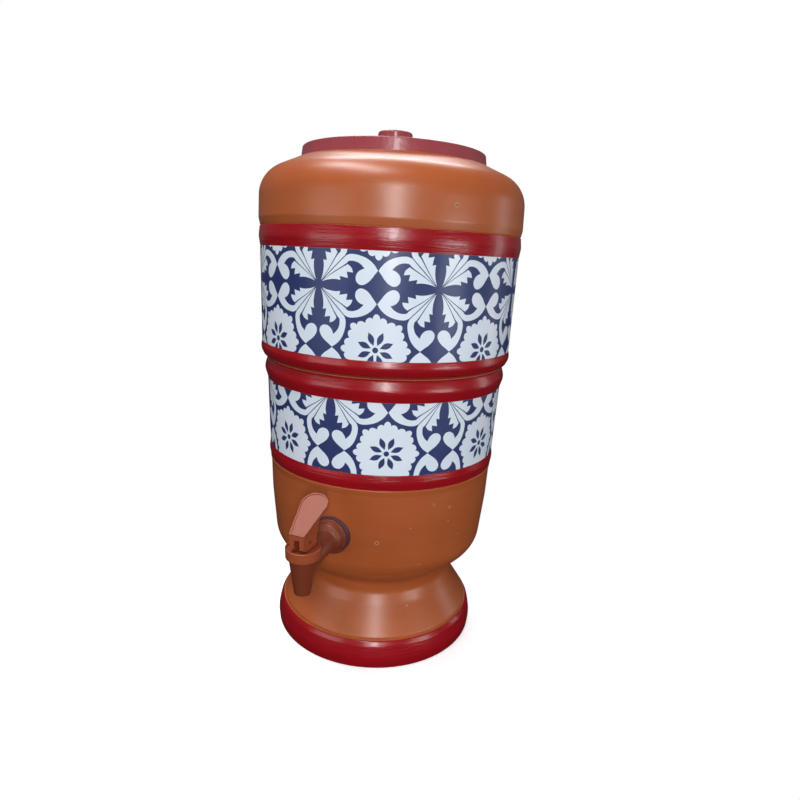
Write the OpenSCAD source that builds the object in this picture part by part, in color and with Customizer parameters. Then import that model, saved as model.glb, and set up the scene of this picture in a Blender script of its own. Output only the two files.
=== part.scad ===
// Clay water pot with tap: two stacked clay chambers with a filter candle between
// them, a plastic lid and a self-closing lever tap. Millimetres, +Z up. The origin is
// the centre of the foot's base, and the tap points along -Y.

/* [Foot] */
// Widest diameter of the painted foot ring
foot_d = 202.6; // [186:0.2:220]
// Height of the painted foot ring
foot_ring_h = 26; // [20:0.5:32]
// Width of the foot ring's standing face
foot_ring_w = 12; // [8:0.5:16]
// Diameter of the waist between foot and bowl
waist_d = 149; // [136:0.5:160]
// Height of the waist above the floor
waist_h = 63; // [58:0.5:68]
// Clay thickness of the foot at the waist
foot_wall = 10; // [8:0.5:13]

/* [Lower chamber] */
// Height of the lower chamber's rim above the floor
lower_h = 276; // [262:1:296]
// Outer diameter of the bowl where its side straightens
bowl_d = 215.4; // [206:0.2:222]
// Height at which the bowl's side straightens
bowl_h = 146; // [138:1:156]
// Outer diameter of the lower wall at its rim
rim_d = 225.4; // [218:0.2:232]
// Height of the bowl's floor inside
bowl_floor_h = 100; // [97:0.5:104]
// Thickness of the clay walls
wall = 9; // [7.5:0.5:10.5]

/* [Upper chamber] */
// Height from the ledge that rests on the lower rim to the lid's seat
upper_h = 175; // [160:1:200]
// Outer diameter of the upper wall at its foot
upper_d = 233.8; // [230:0.2:240]
// Outer diameter of the upper wall where the shoulder begins
shoulder_d = 241; // [236:0.2:248]
// Height of the shoulder's corner below the lid's seat
shoulder_drop = 15; // [11:0.5:19]
// Radius of the rounded shoulder
shoulder_r = 30; // [18:1:34]
// Clear diameter of the mouth
mouth_d = 144; // [120:1:150]
// Height of the collar round the mouth
collar_h = 8.2; // [6:0.2:11]
// Clay thickness of the collar round the mouth
collar_t = 7; // [5:0.5:8]
// Thickness of the upper chamber's floor
floor_t = 12; // [9:0.5:15]
// Depth of the spigot that sits inside the lower rim
spigot_h = 14; // [10:0.5:18]
// Radial gap between the spigot and the lower rim
spigot_gap = 2.2; // [1:0.1:4]

/* [Painted rings and printed bands] */
// Height of the ring under the lower printed band
lower_ring_h = 13.5; // [10:0.5:16]
// Height of the lower printed band
lower_band_h = 63.3; // [50:0.1:66]
// Height of the ring at the lower chamber's rim
rim_ring_h = 19.2; // [16:0.2:22]
// Height of the ring at the upper chamber's foot
ledge_ring_h = 15; // [12:0.5:18]
// Height of the upper printed band
upper_band_h = 84.6; // [76:0.1:90]
// Height of the ring over the upper printed band
shoulder_ring_h = 16.7; // [13:0.1:20]
// How far the narrow rings stand proud of the wall
ring_proud = 1.3; // [0.8:0.1:2]
// How far the wide rings at the joint stand proud of the wall
joint_ring_proud = 2.6; // [1.6:0.1:3.4]
// Thickness of the printed bands
film_t = 0.4; // [0.2:0.05:0.8]

/* [Lid] */
// Outer diameter of the lid's skirt
lid_d = 167.4; // [164:0.2:172]
// Wall thickness of the lid
lid_t = 2.4; // [1.8:0.1:3]
// Rise of the lid's dome above the collar
lid_rise = 4; // [3:0.1:7]
// Diameter of the knob
knob_d = 31; // [24:0.5:40]
// Height of the knob above the collar
knob_h = 20; // [14:0.5:28]

/* [Filter candle] */
// Diameter of the ceramic candle
candle_d = 49; // [42:0.5:56]
// Height of the ceramic candle above the chamber's floor
candle_h = 106; // [90:1:125]
// Wall thickness of the ceramic candle
candle_wall = 6; // [4:0.5:8]
// Diameter of the candle's threaded stem
stem_d = 10; // [8:0.5:12]
// Length of the stem below the chamber's floor
stem_len = 30; // [27:0.5:34]
// Diameter of the stem's water passage
stem_bore_d = 4; // [3:0.1:5]
// Diameter of the rubber gasket under the candle
gasket_d = 32; // [26:0.5:38]
// Thickness of the rubber gasket under the candle
gasket_t = 2.5; // [2:0.1:4]
// Thickness of the plastic washer under the chamber's floor
stem_washer_t = 2.5; // [2:0.1:4]
// Height of the wing nut
wing_nut_h = 8; // [6:0.5:10]

/* [Float valve] */
// Diameter of the float
float_d = 40; // [32:1:52]
// Height of the float
float_h = 18; // [12:0.5:24]
// How far the float rises to shut the valve
float_travel = 8; // [5:0.5:12]

/* [Tap body] */
// Height of the tap's hole above the floor
tap_h = 134; // [130:0.5:146]
// Distance from the clay wall to the valve's axis
tap_reach = 50.7; // [46:0.1:60]
// Diameter of the threaded shank through the wall
shank_d = 16; // [14:0.2:18]
// Diameter of the passage along the shank
inlet_d = 9; // [7:0.2:10]
// Diameter of the rubber washers
washer_d = 34; // [30:0.2:38]
// Thickness of the outer rubber washer
washer_t = 4; // [3:0.1:5]
// Diameter of the tap's flange
flange_d = 31; // [28:0.2:33]
// Thickness of the tap's flange
flange_t = 2; // [1.5:0.1:3]
// Diameter of the barrel at the valve
barrel_d = 15.8; // [13:0.2:17]
// How far the barrel drops on its way to the valve
barrel_drop = 7.8; // [7:0.1:10]
// Width across the flats of the nut inside
backnut_w = 27; // [24:0.5:30]
// Thickness of the nut inside
backnut_t = 8; // [6:0.5:10]

/* [Valve] */
// Diameter of the bonnet that the lever stands on
bonnet_d = 28.8; // [27.6:0.1:31]
// Height of the bonnet
bonnet_h = 8.8; // [8:0.1:11]
// Height of the bonnet's lower edge above the tap's hole
bonnet_rise = 3.2; // [3:0.1:5]
// Depth of the dish in the bonnet's top
dish_depth = 1.7; // [1:0.1:2.2]
// Height of the spout from its tip to the bonnet
spout_h = 32; // [30:0.5:38]
// Diameter of the spout's tip
spout_tip_d = 13.6; // [12.8:0.1:15]
// Diameter of the outlet passage
outlet_d = 8.4; // [7:0.1:9]
// Height of the valve's seat above the spout's tip
seat_h = 16; // [14:0.5:18]
// Diameter of the valve stem
valve_stem_d = 4.4; // [3.8:0.1:4.6]
// Diameter of the spring's wire
wire_d = 0.8; // [0.5:0.05:1]
// Number of turns of the spring
spring_turns = 5; // [4:1:7]

/* [Lever] */
// Length of the lever's thumb plate
plate_len = 42.6; // [36:0.2:48]
// Width of the thumb plate at its lower edge
plate_w = 13; // [12.8:0.1:15]
// Width of the thumb plate at its round end
plate_end_w = 25; // [20:0.5:28]
// Thickness of the thumb plate
plate_t = 2.4; // [2:0.1:3]
// Slope of the thumb plate
plate_slope = 29.6; // [26:0.2:34]
// Width of the lever's fork
fork_w = 12.6; // [11.6:0.1:12.8]
// Width of the slot between the fork's legs
slot_w = 5; // [5:0.1:5.6]
// Height of the pin above the fork's sole
pin_h = 6.5; // [6:0.1:7]
// Diameter of the lever's pin
pin_d = 3; // [2.4:0.1:3.2]
// Lift of the valve for each radian that the lever turns
cam_lift = 7; // [6.8:0.1:7.6]
// Angle through which the lever is pressed
lever_travel = 25; // [15:1:25]

/* [Fits] */
// Radial gap of a pin or stem that turns or slides in its hole
running_gap = 0.06; // [0.03:0.01:0.1]
// Gap between pieces that are put together by hand
slip_gap = 0.05; // [0.02:0.01:0.1]
// Gap between moving pieces that never touch
free_gap = 0.3; // [0.2:0.05:0.4]

/* [Hidden] */

$fn = 96;
arc_step = 8;      // degrees between the points of a rounded corner
eps = 0.01;        // overlap that joins or cuts cleanly

clay = "#b5693a";
paint = "#a3121f";
print_blue = "#3b4a86";
lid_plastic = "#8d3b3a";
tap_plastic = "#9c4a2b";
rubber = "#3d2b2f";
white_ceramic = "#ece7dc";
white_plastic = "#e4e6e4";
steel = "#b9bcc0";

// ---- outlines -------------------------------------------------------------

function unit(v) = v / norm(v);
function between(a, b, t) = a + (b - a) * t;
function turned(v, a) = [v.x * cos(a) - v.y * sin(a), v.x * sin(a) + v.y * cos(a)];

// Points of the arc that rounds the corner b, between its neighbours a and c
function corner_arc(a, b, c, r) =
    let (
        u = unit(a - b),
        v = unit(c - b),
        half = acos(max(-1, min(1, u * v))) / 2,
        reach = min(r / tan(half), 0.48 * min(norm(a - b), norm(c - b))),
        radius = reach * tan(half),
        centre = b + unit(u + v) * radius / sin(half),
        start = b + u * reach - centre,
        finish = b + v * reach - centre,
        turn = sign(cross(start, finish)) * (180 - 2 * half),
        steps = max(1, ceil(abs(turn) / arc_step))
    )
    [for (k = [0 : steps]) centre + turned(start, turn * k / steps)];

// Closed outline through corners given as [x, y, radius of the corner]
function rounded(corners) =
    let (n = len(corners))
    [for (i = [0 : n - 1])
        let (
            a = corners[(i + n - 1) % n],
            b = corners[i],
            c = corners[(i + 1) % n]
        )
        each b[2] > 0
            ? corner_arc([a.x, a.y], [b.x, b.y], [c.x, c.y], b[2])
            : [[b.x, b.y]]];

module turned_solid(corners) rotate_extrude() polygon(rounded(corners));

module tube(r_in, r_out, h) {
    difference() {
        cylinder(r = r_out, h = h);
        translate([0, 0, -eps]) cylinder(r = r_in, h = h + 2 * eps);
    }
}

// ---- lower chamber --------------------------------------------------------

foot_r = foot_d / 2;
waist_r = waist_d / 2;
bowl_r = bowl_d / 2;
rim_r = rim_d / 2;

// Outer radius of the lower chamber's straight side at height z
function lower_r(z) = between(bowl_r, rim_r, (z - bowl_h) / (lower_h - bowl_h));

rim_ring_z = lower_h - rim_ring_h;
lower_band_z = rim_ring_z - lower_band_h;
lower_ring_z = lower_band_z - lower_ring_h;

foot_top_r = foot_r - 6;
hip = [bowl_r - 9.1, waist_h + 29.5];         // lowest corner of the bowl's side
flank = [bowl_r - 3.7, waist_h + 43];         // where the side turns upright
knee = [between(foot_top_r, waist_r, 0.35), between(foot_ring_h, waist_h, 0.35)];
ankle = [between(foot_top_r, waist_r, 0.79), between(foot_ring_h, waist_h, 0.73)];
hollow_h = bowl_floor_h - wall - 3;           // roof of the foot's hollow

lower_outside = [
    [foot_r - foot_ring_w, 0, 1.5],
    [foot_top_r, 0, 0],
    [foot_top_r, foot_ring_h + 2.5, 3],
    [knee.x, knee.y, 8],
    [ankle.x, ankle.y, 22],
    [waist_r, waist_h, 10],
    [waist_r + 1.5, waist_h + 11, 12],
    [hip.x, hip.y, 15],
    [flank.x, flank.y, 50],
    [bowl_r, bowl_h, 90],
    [rim_r, lower_h, 0]
];
lower_inside = [
    [rim_r - wall, lower_h, 1],
    [bowl_r - wall, bowl_h, 90],
    [flank.x - wall + 0.5, max(flank.y + 5, bowl_floor_h + 9), 40],
    [hip.x - wall - 5, bowl_floor_h, 12],
    [0, bowl_floor_h, 0]
];
foot_hollow = [
    [0, hollow_h, 0],
    [waist_r - foot_wall, hollow_h, 9],
    [waist_r - foot_wall, waist_h, 18],
    [ankle.x - foot_wall, ankle.y - 6, 20],
    [foot_r - foot_ring_w - 2, foot_ring_h - 4, 12]
];
lower_outline = concat(lower_outside, lower_inside, foot_hollow);

// Outer radius of the bowl at the tap's hole
bowl_side = rounded([
    [waist_r + 1.5, waist_h + 11, 0],
    [hip.x, hip.y, 15],
    [flank.x, flank.y, 50],
    [bowl_r, bowl_h, 90],
    [rim_r, lower_h, 0]
]);
tap_wall_r = lookup(tap_h, [for (p = bowl_side) [p.y, p.x]]);

// A ring of clay standing proud of the wall from r0 at z0 to r1 at z0 + h
module wall_ring(z0, h, r0, r1, proud) {
    root = 4;
    color(paint) turned_solid([
        [r0 - root, z0, 0],
        [r0 + 0.35 * proud, z0, 0.3],
        [between(r0, r1, 0.5) + 1.2 * proud, z0 + h / 2, h],
        [r1 + 0.35 * proud, z0 + h, 0.3],
        [r1 - root, z0 + h, 0]
    ]);
}

module foot_ring() {
    color(paint) turned_solid([
        [foot_r - foot_ring_w, 0, 1.5],
        [foot_r - 1, 0, 2],
        [foot_r + 0.2, 0.38 * foot_ring_h, foot_ring_h],
        [foot_r - 2.4, 0.85 * foot_ring_h, 8],
        [foot_r - 4.8, foot_ring_h, 2],
        [foot_r - foot_ring_w, foot_ring_h, 0]
    ]);
}

module rim_ring() {
    rim_ring_r = lower_r(rim_ring_z);
    color(paint) turned_solid([
        [rim_r - wall + 1, rim_ring_z, 0],
        [rim_ring_r + 0.4, rim_ring_z, 0.3],
        [rim_r + joint_ring_proud, between(rim_ring_z, lower_h, 0.48), 10],
        [rim_r, lower_h - 1, 3],
        [rim_r - 2.4, lower_h, 1],
        [rim_r - wall + 1, lower_h, 0]
    ]);
}

module clay_below() {
    color(clay) turned_solid(lower_outline);
}

module lower_chamber() {
    difference() {
        union() {
            clay_below();
            foot_ring();
            wall_ring(lower_ring_z, lower_ring_h, lower_r(lower_ring_z),
                lower_r(lower_band_z), ring_proud);
            rim_ring();
        }
        at_tap() translate([0, 0, -2 * wall])
            cylinder(d = shank_d + 1, h = 3 * wall);
    }
}

// A printed film from height z0, where the wall's radius is r0, to z1, where it is r1
module film(z0, z1, r0, r1) {
    color(print_blue) turned_solid([
        [r0 + slip_gap, z0, 0],
        [r0 + slip_gap + film_t, z0, 0],
        [r1 + slip_gap + film_t, z1, 0],
        [r1 + slip_gap, z1, 0]
    ]);
}

module lower_band() {
    z0 = lower_band_z + free_gap;
    z1 = rim_ring_z - free_gap;
    film(z0, z1, lower_r(z0), lower_r(z1));
}

// ---- upper chamber --------------------------------------------------------

ledge_z = lower_h;
seat_z = ledge_z + upper_h;                    // where the lid's skirt comes down
upper_r = upper_d / 2;
shoulder_corner_r = shoulder_d / 2 - 0.7;
mouth_r = mouth_d / 2;
collar_r = mouth_r + collar_t;
collar_z = seat_z + collar_h;
lid_r = lid_d / 2;
spigot_r = rim_r - wall - spigot_gap;
spigot_z = ledge_z - spigot_h;
upper_floor_z = spigot_z + floor_t;
upper_band_z = ledge_z + ledge_ring_h;
shoulder_ring_z = upper_band_z + upper_band_h;
shoulder_z = shoulder_ring_z + shoulder_ring_h;
corner_z = seat_z - shoulder_drop;
stem_hole_r = stem_d / 2 + 1.5;

// Outer radius of the upper chamber's side at height z
function upper_wall_r(z) =
    between(upper_r, shoulder_d / 2 - 1.5, (z - ledge_z) / (shoulder_z - ledge_z));

seat_edge_r = lid_r + 1.5;                     // outer edge of the lid's seat
shoulder_slope = (seat_z - corner_z) / (shoulder_corner_r - seat_edge_r);
inside_drop = wall * sqrt(1 + shoulder_slope * shoulder_slope);
inside_corner_z = corner_z - inside_drop + wall * shoulder_slope;
inside_mouth_z = inside_corner_z
    + (shoulder_corner_r - wall - mouth_r) * shoulder_slope;

upper_outline = [
    [stem_hole_r, spigot_z, 0],
    [spigot_r, spigot_z, 2],
    [spigot_r, ledge_z, 0],
    [rim_r - 2, ledge_z, 1],
    [upper_r, ledge_z + 2.5, 2],
    [upper_wall_r(upper_band_z), upper_band_z, 0],
    [upper_wall_r(shoulder_ring_z), shoulder_ring_z, 0],
    [upper_wall_r(shoulder_z), shoulder_z, 0],
    [shoulder_d / 2, shoulder_z + 7, 8],
    [shoulder_corner_r, corner_z, shoulder_r],
    [seat_edge_r, seat_z + 0.4, 0.8],
    [seat_edge_r - 0.2, seat_z, 0],
    [collar_r, seat_z, 0],
    [collar_r, collar_z, 1.5],
    [mouth_r, collar_z, 2],
    [mouth_r, inside_mouth_z, 3],
    [shoulder_corner_r - wall, inside_corner_z, shoulder_r - wall],
    [upper_wall_r(upper_band_z) - wall, ledge_z + 26, 30],
    [spigot_r - 8, upper_floor_z, 12],
    [stem_hole_r, upper_floor_z, 0.8]
];

module ledge_ring() {
    top_r = upper_wall_r(upper_band_z);
    color(paint) turned_solid([
        [upper_r - wall + 3, ledge_z + 1, 0],
        [rim_r - 0.6, ledge_z + 1, 1],
        [upper_r - 1, ledge_z + 2.8, 3.5],
        [upper_r + 0.75 * joint_ring_proud, between(ledge_z, upper_band_z, 0.58), 9],
        [top_r + 0.4, upper_band_z, 0.3],
        [upper_r - wall + 3, upper_band_z, 0]
    ]);
}

module upper_chamber() {
    union() {
        color(clay) turned_solid(upper_outline);
        ledge_ring();
        wall_ring(shoulder_ring_z, shoulder_ring_h, upper_wall_r(shoulder_ring_z),
            upper_wall_r(shoulder_z), ring_proud);
    }
}

module upper_band() {
    z0 = upper_band_z + free_gap;
    z1 = shoulder_ring_z - free_gap;
    film(z0, z1, upper_wall_r(z0), upper_wall_r(z1));
}

// ---- lid ------------------------------------------------------------------

lid_taper = 1.4;                               // the skirt narrows towards its top
plug_r = mouth_r - 1;                          // ring that centres the lid in the mouth
knob_r = knob_d / 2;

module lid() {
    color(lid_plastic) turned_solid([
        [lid_r, seat_z, 0.4],
        [lid_r - lid_taper, collar_z + lid_t, 1],
        [0.72 * lid_r, collar_z + lid_t + 0.2, 4],
        [0.62 * lid_r, collar_z + lid_rise, 6],
        [knob_r, collar_z + lid_rise, 1.2],
        [knob_r, collar_z + knob_h, 1.6],
        [0, collar_z + knob_h, 0],
        [0, collar_z + knob_h - lid_t, 0],
        [knob_r - lid_t, collar_z + knob_h - lid_t, 1],
        [knob_r - lid_t, collar_z + lid_rise - lid_t, 1],
        [0.62 * lid_r - 1, collar_z + lid_rise - lid_t, 6],
        [0.72 * lid_r - 1, collar_z, 3],
        [plug_r - lid_t, collar_z, 0],
        [plug_r - lid_t, seat_z - 1, 0.6],
        [plug_r, seat_z - 1, 0.6],
        [plug_r, collar_z, 0],
        [lid_r - lid_taper - lid_t, collar_z, 1],
        [lid_r - lid_t, seat_z, 0.4]
    ]);
}

// ---- filter candle --------------------------------------------------------

candle_r = candle_d / 2;
stem_r = stem_d / 2;
cup_z = upper_floor_z + gasket_t;              // underside of the candle's base
cup_h = 14;
cup_t = 2;
cup_floor_t = 3;
cup_r = candle_r + cup_t + slip_gap;
candle_top_z = upper_floor_z + candle_h;
stem_end_z = spigot_z - stem_len;
nut_z = spigot_z - stem_washer_t - wing_nut_h;

module candle_shell() {
    inner_r = candle_r - candle_wall;
    color(white_ceramic) turned_solid([
        [candle_r, cup_z + cup_floor_t, 0.8],
        [candle_r, candle_top_z, candle_r * 0.82],
        [0, candle_top_z, 0],
        [0, candle_top_z - candle_wall, 0],
        [inner_r, candle_top_z - candle_wall, inner_r * 0.82],
        [inner_r, cup_z + cup_floor_t, 0]
    ]);
}

// Cup that holds the candle, with the threaded stem that passes the floor
module candle_base() {
    color(white_plastic) turned_solid([
        [stem_bore_d / 2, stem_end_z, 0],
        [stem_r, stem_end_z, 0.8],
        [stem_r, cup_z, 0],
        [cup_r, cup_z, 1.5],
        [cup_r, cup_z + cup_h, 0.8],
        [cup_r - cup_t, cup_z + cup_h, 0.5],
        [cup_r - cup_t, cup_z + cup_floor_t, 0],
        [stem_bore_d / 2, cup_z + cup_floor_t, 0]
    ]);
}

module candle_gasket() {
    color(rubber) translate([0, 0, upper_floor_z])
        tube(stem_r + slip_gap, gasket_d / 2, gasket_t);
}

module stem_washer() {
    color(white_plastic) translate([0, 0, spigot_z - stem_washer_t])
        tube(stem_r + slip_gap, stem_hole_r + 7, stem_washer_t);
}

module wing_nut() {
    hub_r = stem_r + 4;
    wing_reach = hub_r + 8;
    wing_t = 3;
    color(white_plastic) translate([0, 0, nut_z]) difference() {
        union() {
            cylinder(r = hub_r, h = wing_nut_h);
            for (side = [0, 180]) rotate([0, 0, side]) translate([0, wing_t / 2, 0])
                rotate([90, 0, 0]) linear_extrude(wing_t) polygon(rounded([
                    [hub_r - 2, 1, 0],
                    [wing_reach - 2, -1, 2],
                    [wing_reach, wing_nut_h - 1, 2.5],
                    [hub_r + 2, wing_nut_h - 1, 2],
                    [hub_r - 2, wing_nut_h - 2, 0]
                ]));
        }
        translate([0, 0, -3]) cylinder(r = stem_r + slip_gap, h = wing_nut_h + 6);
    }
}

// ---- float valve ----------------------------------------------------------

valve_cap_z = stem_end_z - 8;                  // face that the float shuts against
stop_z = valve_cap_z - float_travel - float_h; // the float rests here
rod_r = 3;

// Cap on the stem's end, with the rod and the stop that the float slides on
module float_valve() {
    cap_r = stem_r + 4;
    color(white_plastic) turned_solid([
        [stem_r + slip_gap, stem_end_z, 0],
        [stem_r + slip_gap, nut_z - 3, 0],
        [cap_r, nut_z - 3, 1],
        [cap_r, stem_end_z, 1],
        [cap_r + 3, valve_cap_z + 3, 1],
        [cap_r + 3, valve_cap_z, 0.5],
        [rod_r, valve_cap_z, 0.5],
        [rod_r, stop_z, 0],
        [rod_r + 4.5, stop_z, 0],
        [rod_r + 4.5, stop_z - 2, 0.5],
        [0, stop_z - 2, 0],
        [0, valve_cap_z + 2, 0],
        [stem_bore_d / 2, valve_cap_z + 2, 0],
        [stem_bore_d / 2, stem_end_z, 0]
    ]);
}

module float() {
    float_r = float_d / 2;
    color(white_ceramic) turned_solid([
        [rod_r + free_gap, stop_z, 0],
        [float_r, stop_z, 3],
        [float_r, stop_z + float_h, 3],
        [rod_r + free_gap, stop_z + float_h, 0]
    ]);
}

// ---- tap ------------------------------------------------------------------

// At the tap's hole: local +Z points out of the pot, local +Y up
module at_tap() translate([0, -tap_wall_r, tap_h]) rotate([90, 0, 0]) children();

shank_r = shank_d / 2;
valve_y = -(tap_wall_r + tap_reach);           // the valve's upright axis
bonnet_z = tap_h + bonnet_rise;
tip_z = bonnet_z - spout_h;
valve_seat_z = tip_z + seat_h;
bonnet_r = bonnet_d / 2;
bonnet_t = 2.9;                                // plate under the dish
dish_z = bonnet_z + bonnet_h - dish_depth;
plate_z = dish_z - bonnet_t;
seal_t = 0.8;
neck_z = plate_z - seal_t;                     // top of the valve's housing
neck_r = bonnet_r - 2.9;
chamber_r = 7.5;
inner_stack = wall + 3;                        // clay and inner washer
shank_len = inner_stack + backnut_t + 5;
barrel_start = washer_t + flange_t;
barrel_run = tap_reach - barrel_start;
barrel_tilt = atan(barrel_drop / barrel_run);
barrel_len = norm([barrel_run, barrel_drop]);

module at_valve() translate([0, valve_y, 0]) children();

module at_barrel() translate([0, -tap_wall_r - barrel_start, tap_h])
    rotate([90 + barrel_tilt, 0, 0]) children();

module tap_outside() {
    at_tap() {
        translate([0, 0, -shank_len]) cylinder(r = shank_r, h = shank_len + washer_t + 1);
        turned_solid([
            [0, washer_t, 0],
            [flange_d / 2, washer_t, 0.5],
            [flange_d / 2, washer_t + flange_t, 0.8],
            [flange_d / 2 - 2, washer_t + flange_t, 0.5],
            [barrel_d / 2 + 4.6, washer_t + flange_t + 3.4, 2.5],
            [barrel_d / 2 + 1.2, washer_t + flange_t + 7, 3],
            [0, washer_t + flange_t + 7, 0]
        ]);
    }
    at_barrel() cylinder(r1 = barrel_d / 2 + 1.6, r2 = barrel_d / 2, h = barrel_len);
    at_valve() turned_solid([
        [0, tip_z, 0],
        [spout_tip_d / 2, tip_z, 0.8],
        [neck_r + 0.1, bonnet_z - 0.2, 0.3],
        [neck_r - 0.2, bonnet_z - 0.2, 0],
        [neck_r - 0.2, neck_z, 0.4],
        [0, neck_z, 0]
    ]);
}

module tap_inside() {
    inlet_r = inlet_d / 2;
    groove_w = 1.7;
    at_tap() translate([0, 0, -shank_len - 1])
        cylinder(r = inlet_r, h = shank_len + washer_t + 3);
    at_barrel() translate([0, 0, 1]) cylinder(r = inlet_r, h = barrel_len - 1);
    at_valve() {
        translate([0, 0, valve_seat_z]) cylinder(r = chamber_r, h = spout_h);
        translate([0, 0, valve_seat_z - 1]) tube(chamber_r - groove_w, chamber_r, 1 + eps);
        translate([0, 0, tip_z - 1]) cylinder(d = outlet_d, h = seat_h + 2);
        translate([0, 0, tip_z - eps])
            cylinder(d1 = outlet_d + 2, d2 = outlet_d, h = seat_h / 2);
    }
}

module tap_body() {
    color(tap_plastic) difference() {
        tap_outside();
        tap_inside();
    }
}

// Grooved rubber washer, its back shaped to the bowl
module outer_washer() {
    r = washer_d / 2;
    bore_r = shank_r + slip_gap;
    color(rubber) difference() {
        at_tap() turned_solid([
            [bore_r, -3, 0],
            [r, -3, 0],
            [r, washer_t / 2 - 0.5, 0.4],
            [r - 1, washer_t / 2, 0.3],
            [r, washer_t / 2 + 0.5, 0.4],
            [r, washer_t, 0.8],
            [bore_r, washer_t, 0]
        ]);
        clay_below($fn = 360);
    }
}

module inner_washer() {
    color(rubber) difference() {
        at_tap() translate([0, 0, -inner_stack])
            tube(shank_r + slip_gap, washer_d / 2 - 2, 6);
        clay_below($fn = 360);
    }
}

module backnut() {
    color(tap_plastic) at_tap() translate([0, 0, -inner_stack - backnut_t]) difference() {
        cylinder(d = backnut_w / cos(30), h = backnut_t, $fn = 6);
        translate([0, 0, -1]) cylinder(r = shank_r + slip_gap, h = backnut_t + 2, $fn = 96);
    }
}

// ---- valve ----------------------------------------------------------------

valve_stem_r = valve_stem_d / 2;
knob_bottom = 2;                               // heights above the valve's seat
knob_top = 3.8;
cup_top = 5.2;
cup_flange_t = 2;
cup_flange_r = 6.4;
cup_neck_r = 4.5;
button_r = 3;                                  // button that holds the rubber cup

module bonnet() {
    color(tap_plastic) at_valve() turned_solid([
        [valve_stem_r + running_gap, plate_z, 0],
        [neck_r, plate_z, 0],
        [neck_r, bonnet_z, 0],
        [bonnet_r - 0.5, bonnet_z, 0.6],
        [bonnet_r, bonnet_z + bonnet_h, 0.7],
        [bonnet_r - 1.5, bonnet_z + bonnet_h, 0.5],
        [bonnet_r - 1.5, dish_z, 0],
        [valve_stem_r + running_gap, dish_z, 0]
    ]);
}

module bonnet_gasket() {
    color(rubber) at_valve() translate([0, 0, neck_z])
        tube(chamber_r + 0.5, neck_r - 0.2, seal_t);
}

// Rubber cup that shuts the outlet, moulded round the stem's button
module seat_cup() {
    neck_hole_r = valve_stem_r - 0.5 + 0.1;
    color(rubber) at_valve() translate([0, 0, valve_seat_z]) turned_solid([
        [0, 0, 0],
        [cup_flange_r, 0, 0.4],
        [cup_flange_r, cup_flange_t, 0.4],
        [cup_neck_r, cup_flange_t, 0],
        [cup_neck_r, cup_top, 0.5],
        [neck_hole_r, cup_top, 0],
        [neck_hole_r, knob_top + 0.1, 0],
        [button_r + 0.1, knob_top + 0.1, 0],
        [button_r + 0.1, knob_bottom - 0.1, 0],
        [0, knob_bottom - 0.1, 0]
    ]);
}

// Helical spring, one tube of six sides with twelve rings to a turn. Its coils are
// wide enough for their straight stretches to clear the cup's neck.
module valve_spring() {
    sides = 6;
    turn_rings = 12;
    rings = turn_rings * spring_turns;
    wire_r = wire_d / 2;
    coil_r = (cup_neck_r + free_gap) / cos(180 / turn_rings) + wire_r;
    z0 = valve_seat_z + cup_flange_t + wire_r + slip_gap;
    z1 = plate_z - wire_r - slip_gap;
    points = [for (i = [0 : rings], k = [0 : sides - 1])
        let (
            turn = 360 / turn_rings * i,
            side = 360 * k / sides,
            r = coil_r + wire_r * cos(side)
        )
        [r * cos(turn), r * sin(turn), between(z0, z1, i / rings) + wire_r * sin(side)]];
    walls = [for (i = [0 : rings - 1], k = [0 : sides - 1])
        let (a = i * sides + k, b = i * sides + (k + 1) % sides)
        each [[a, a + sides, b + sides], [a, b + sides, b]]];
    first_end = [for (k = [0 : sides - 1]) k];
    last_end = [for (k = [sides - 1 : -1 : 0]) rings * sides + k];
    color(steel) at_valve()
        polyhedron(points, concat(walls, [first_end, last_end]), convexity = 6);
}

pin_z = dish_z + free_gap + pin_h;
pin_r = pin_d / 2;
eye_r = pin_r + 2.3;

// Stem from the rubber cup up to the eye that the lever's pin passes
module valve_stem() {
    color(tap_plastic) at_valve() difference() {
        union() {
            translate([0, 0, valve_seat_z]) turned_solid([
                [0, knob_bottom, 0],
                [button_r, knob_bottom, 0.4],
                [button_r, knob_top, 0.4],
                [valve_stem_r - 0.5, knob_top, 0],
                [valve_stem_r - 0.5, cup_top + 0.2, 0],
                [valve_stem_r, cup_top + 0.6, 0],
                [valve_stem_r, pin_z - valve_seat_z, 0],
                [0, pin_z - valve_seat_z, 0]
            ]);
            translate([-valve_stem_r, 0, pin_z]) rotate([0, 90, 0])
                cylinder(r = eye_r, h = valve_stem_d);
        }
        translate([-valve_stem_r - 1, 0, pin_z]) rotate([0, 90, 0])
            cylinder(r = pin_r + running_gap, h = valve_stem_d + 2);
    }
}

// ---- lever ----------------------------------------------------------------

// The heel is an involute, so each degree of travel lifts the valve the same
function heel(angle) =
    let (reach = pin_h + cam_lift * angle * PI / 180)
    [reach * sin(angle) + cam_lift * cos(angle),
     -reach * cos(angle) + cam_lift * sin(angle)];

plate_foot = [-11, 9];                         // lower edge of the plate, from the pin
plate_dir = [cos(plate_slope), sin(plate_slope)];
plate_down = [sin(plate_slope), -cos(plate_slope)];
web_end = plate_foot + 34 / 42.6 * plate_len * plate_dir + plate_t / 2 * plate_down;
slot_front = 2 * plate_foot.x;
slot_back = 6.2;
slot_roof = eye_r + 0.6;
heel_top = heel(lever_travel);

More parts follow.
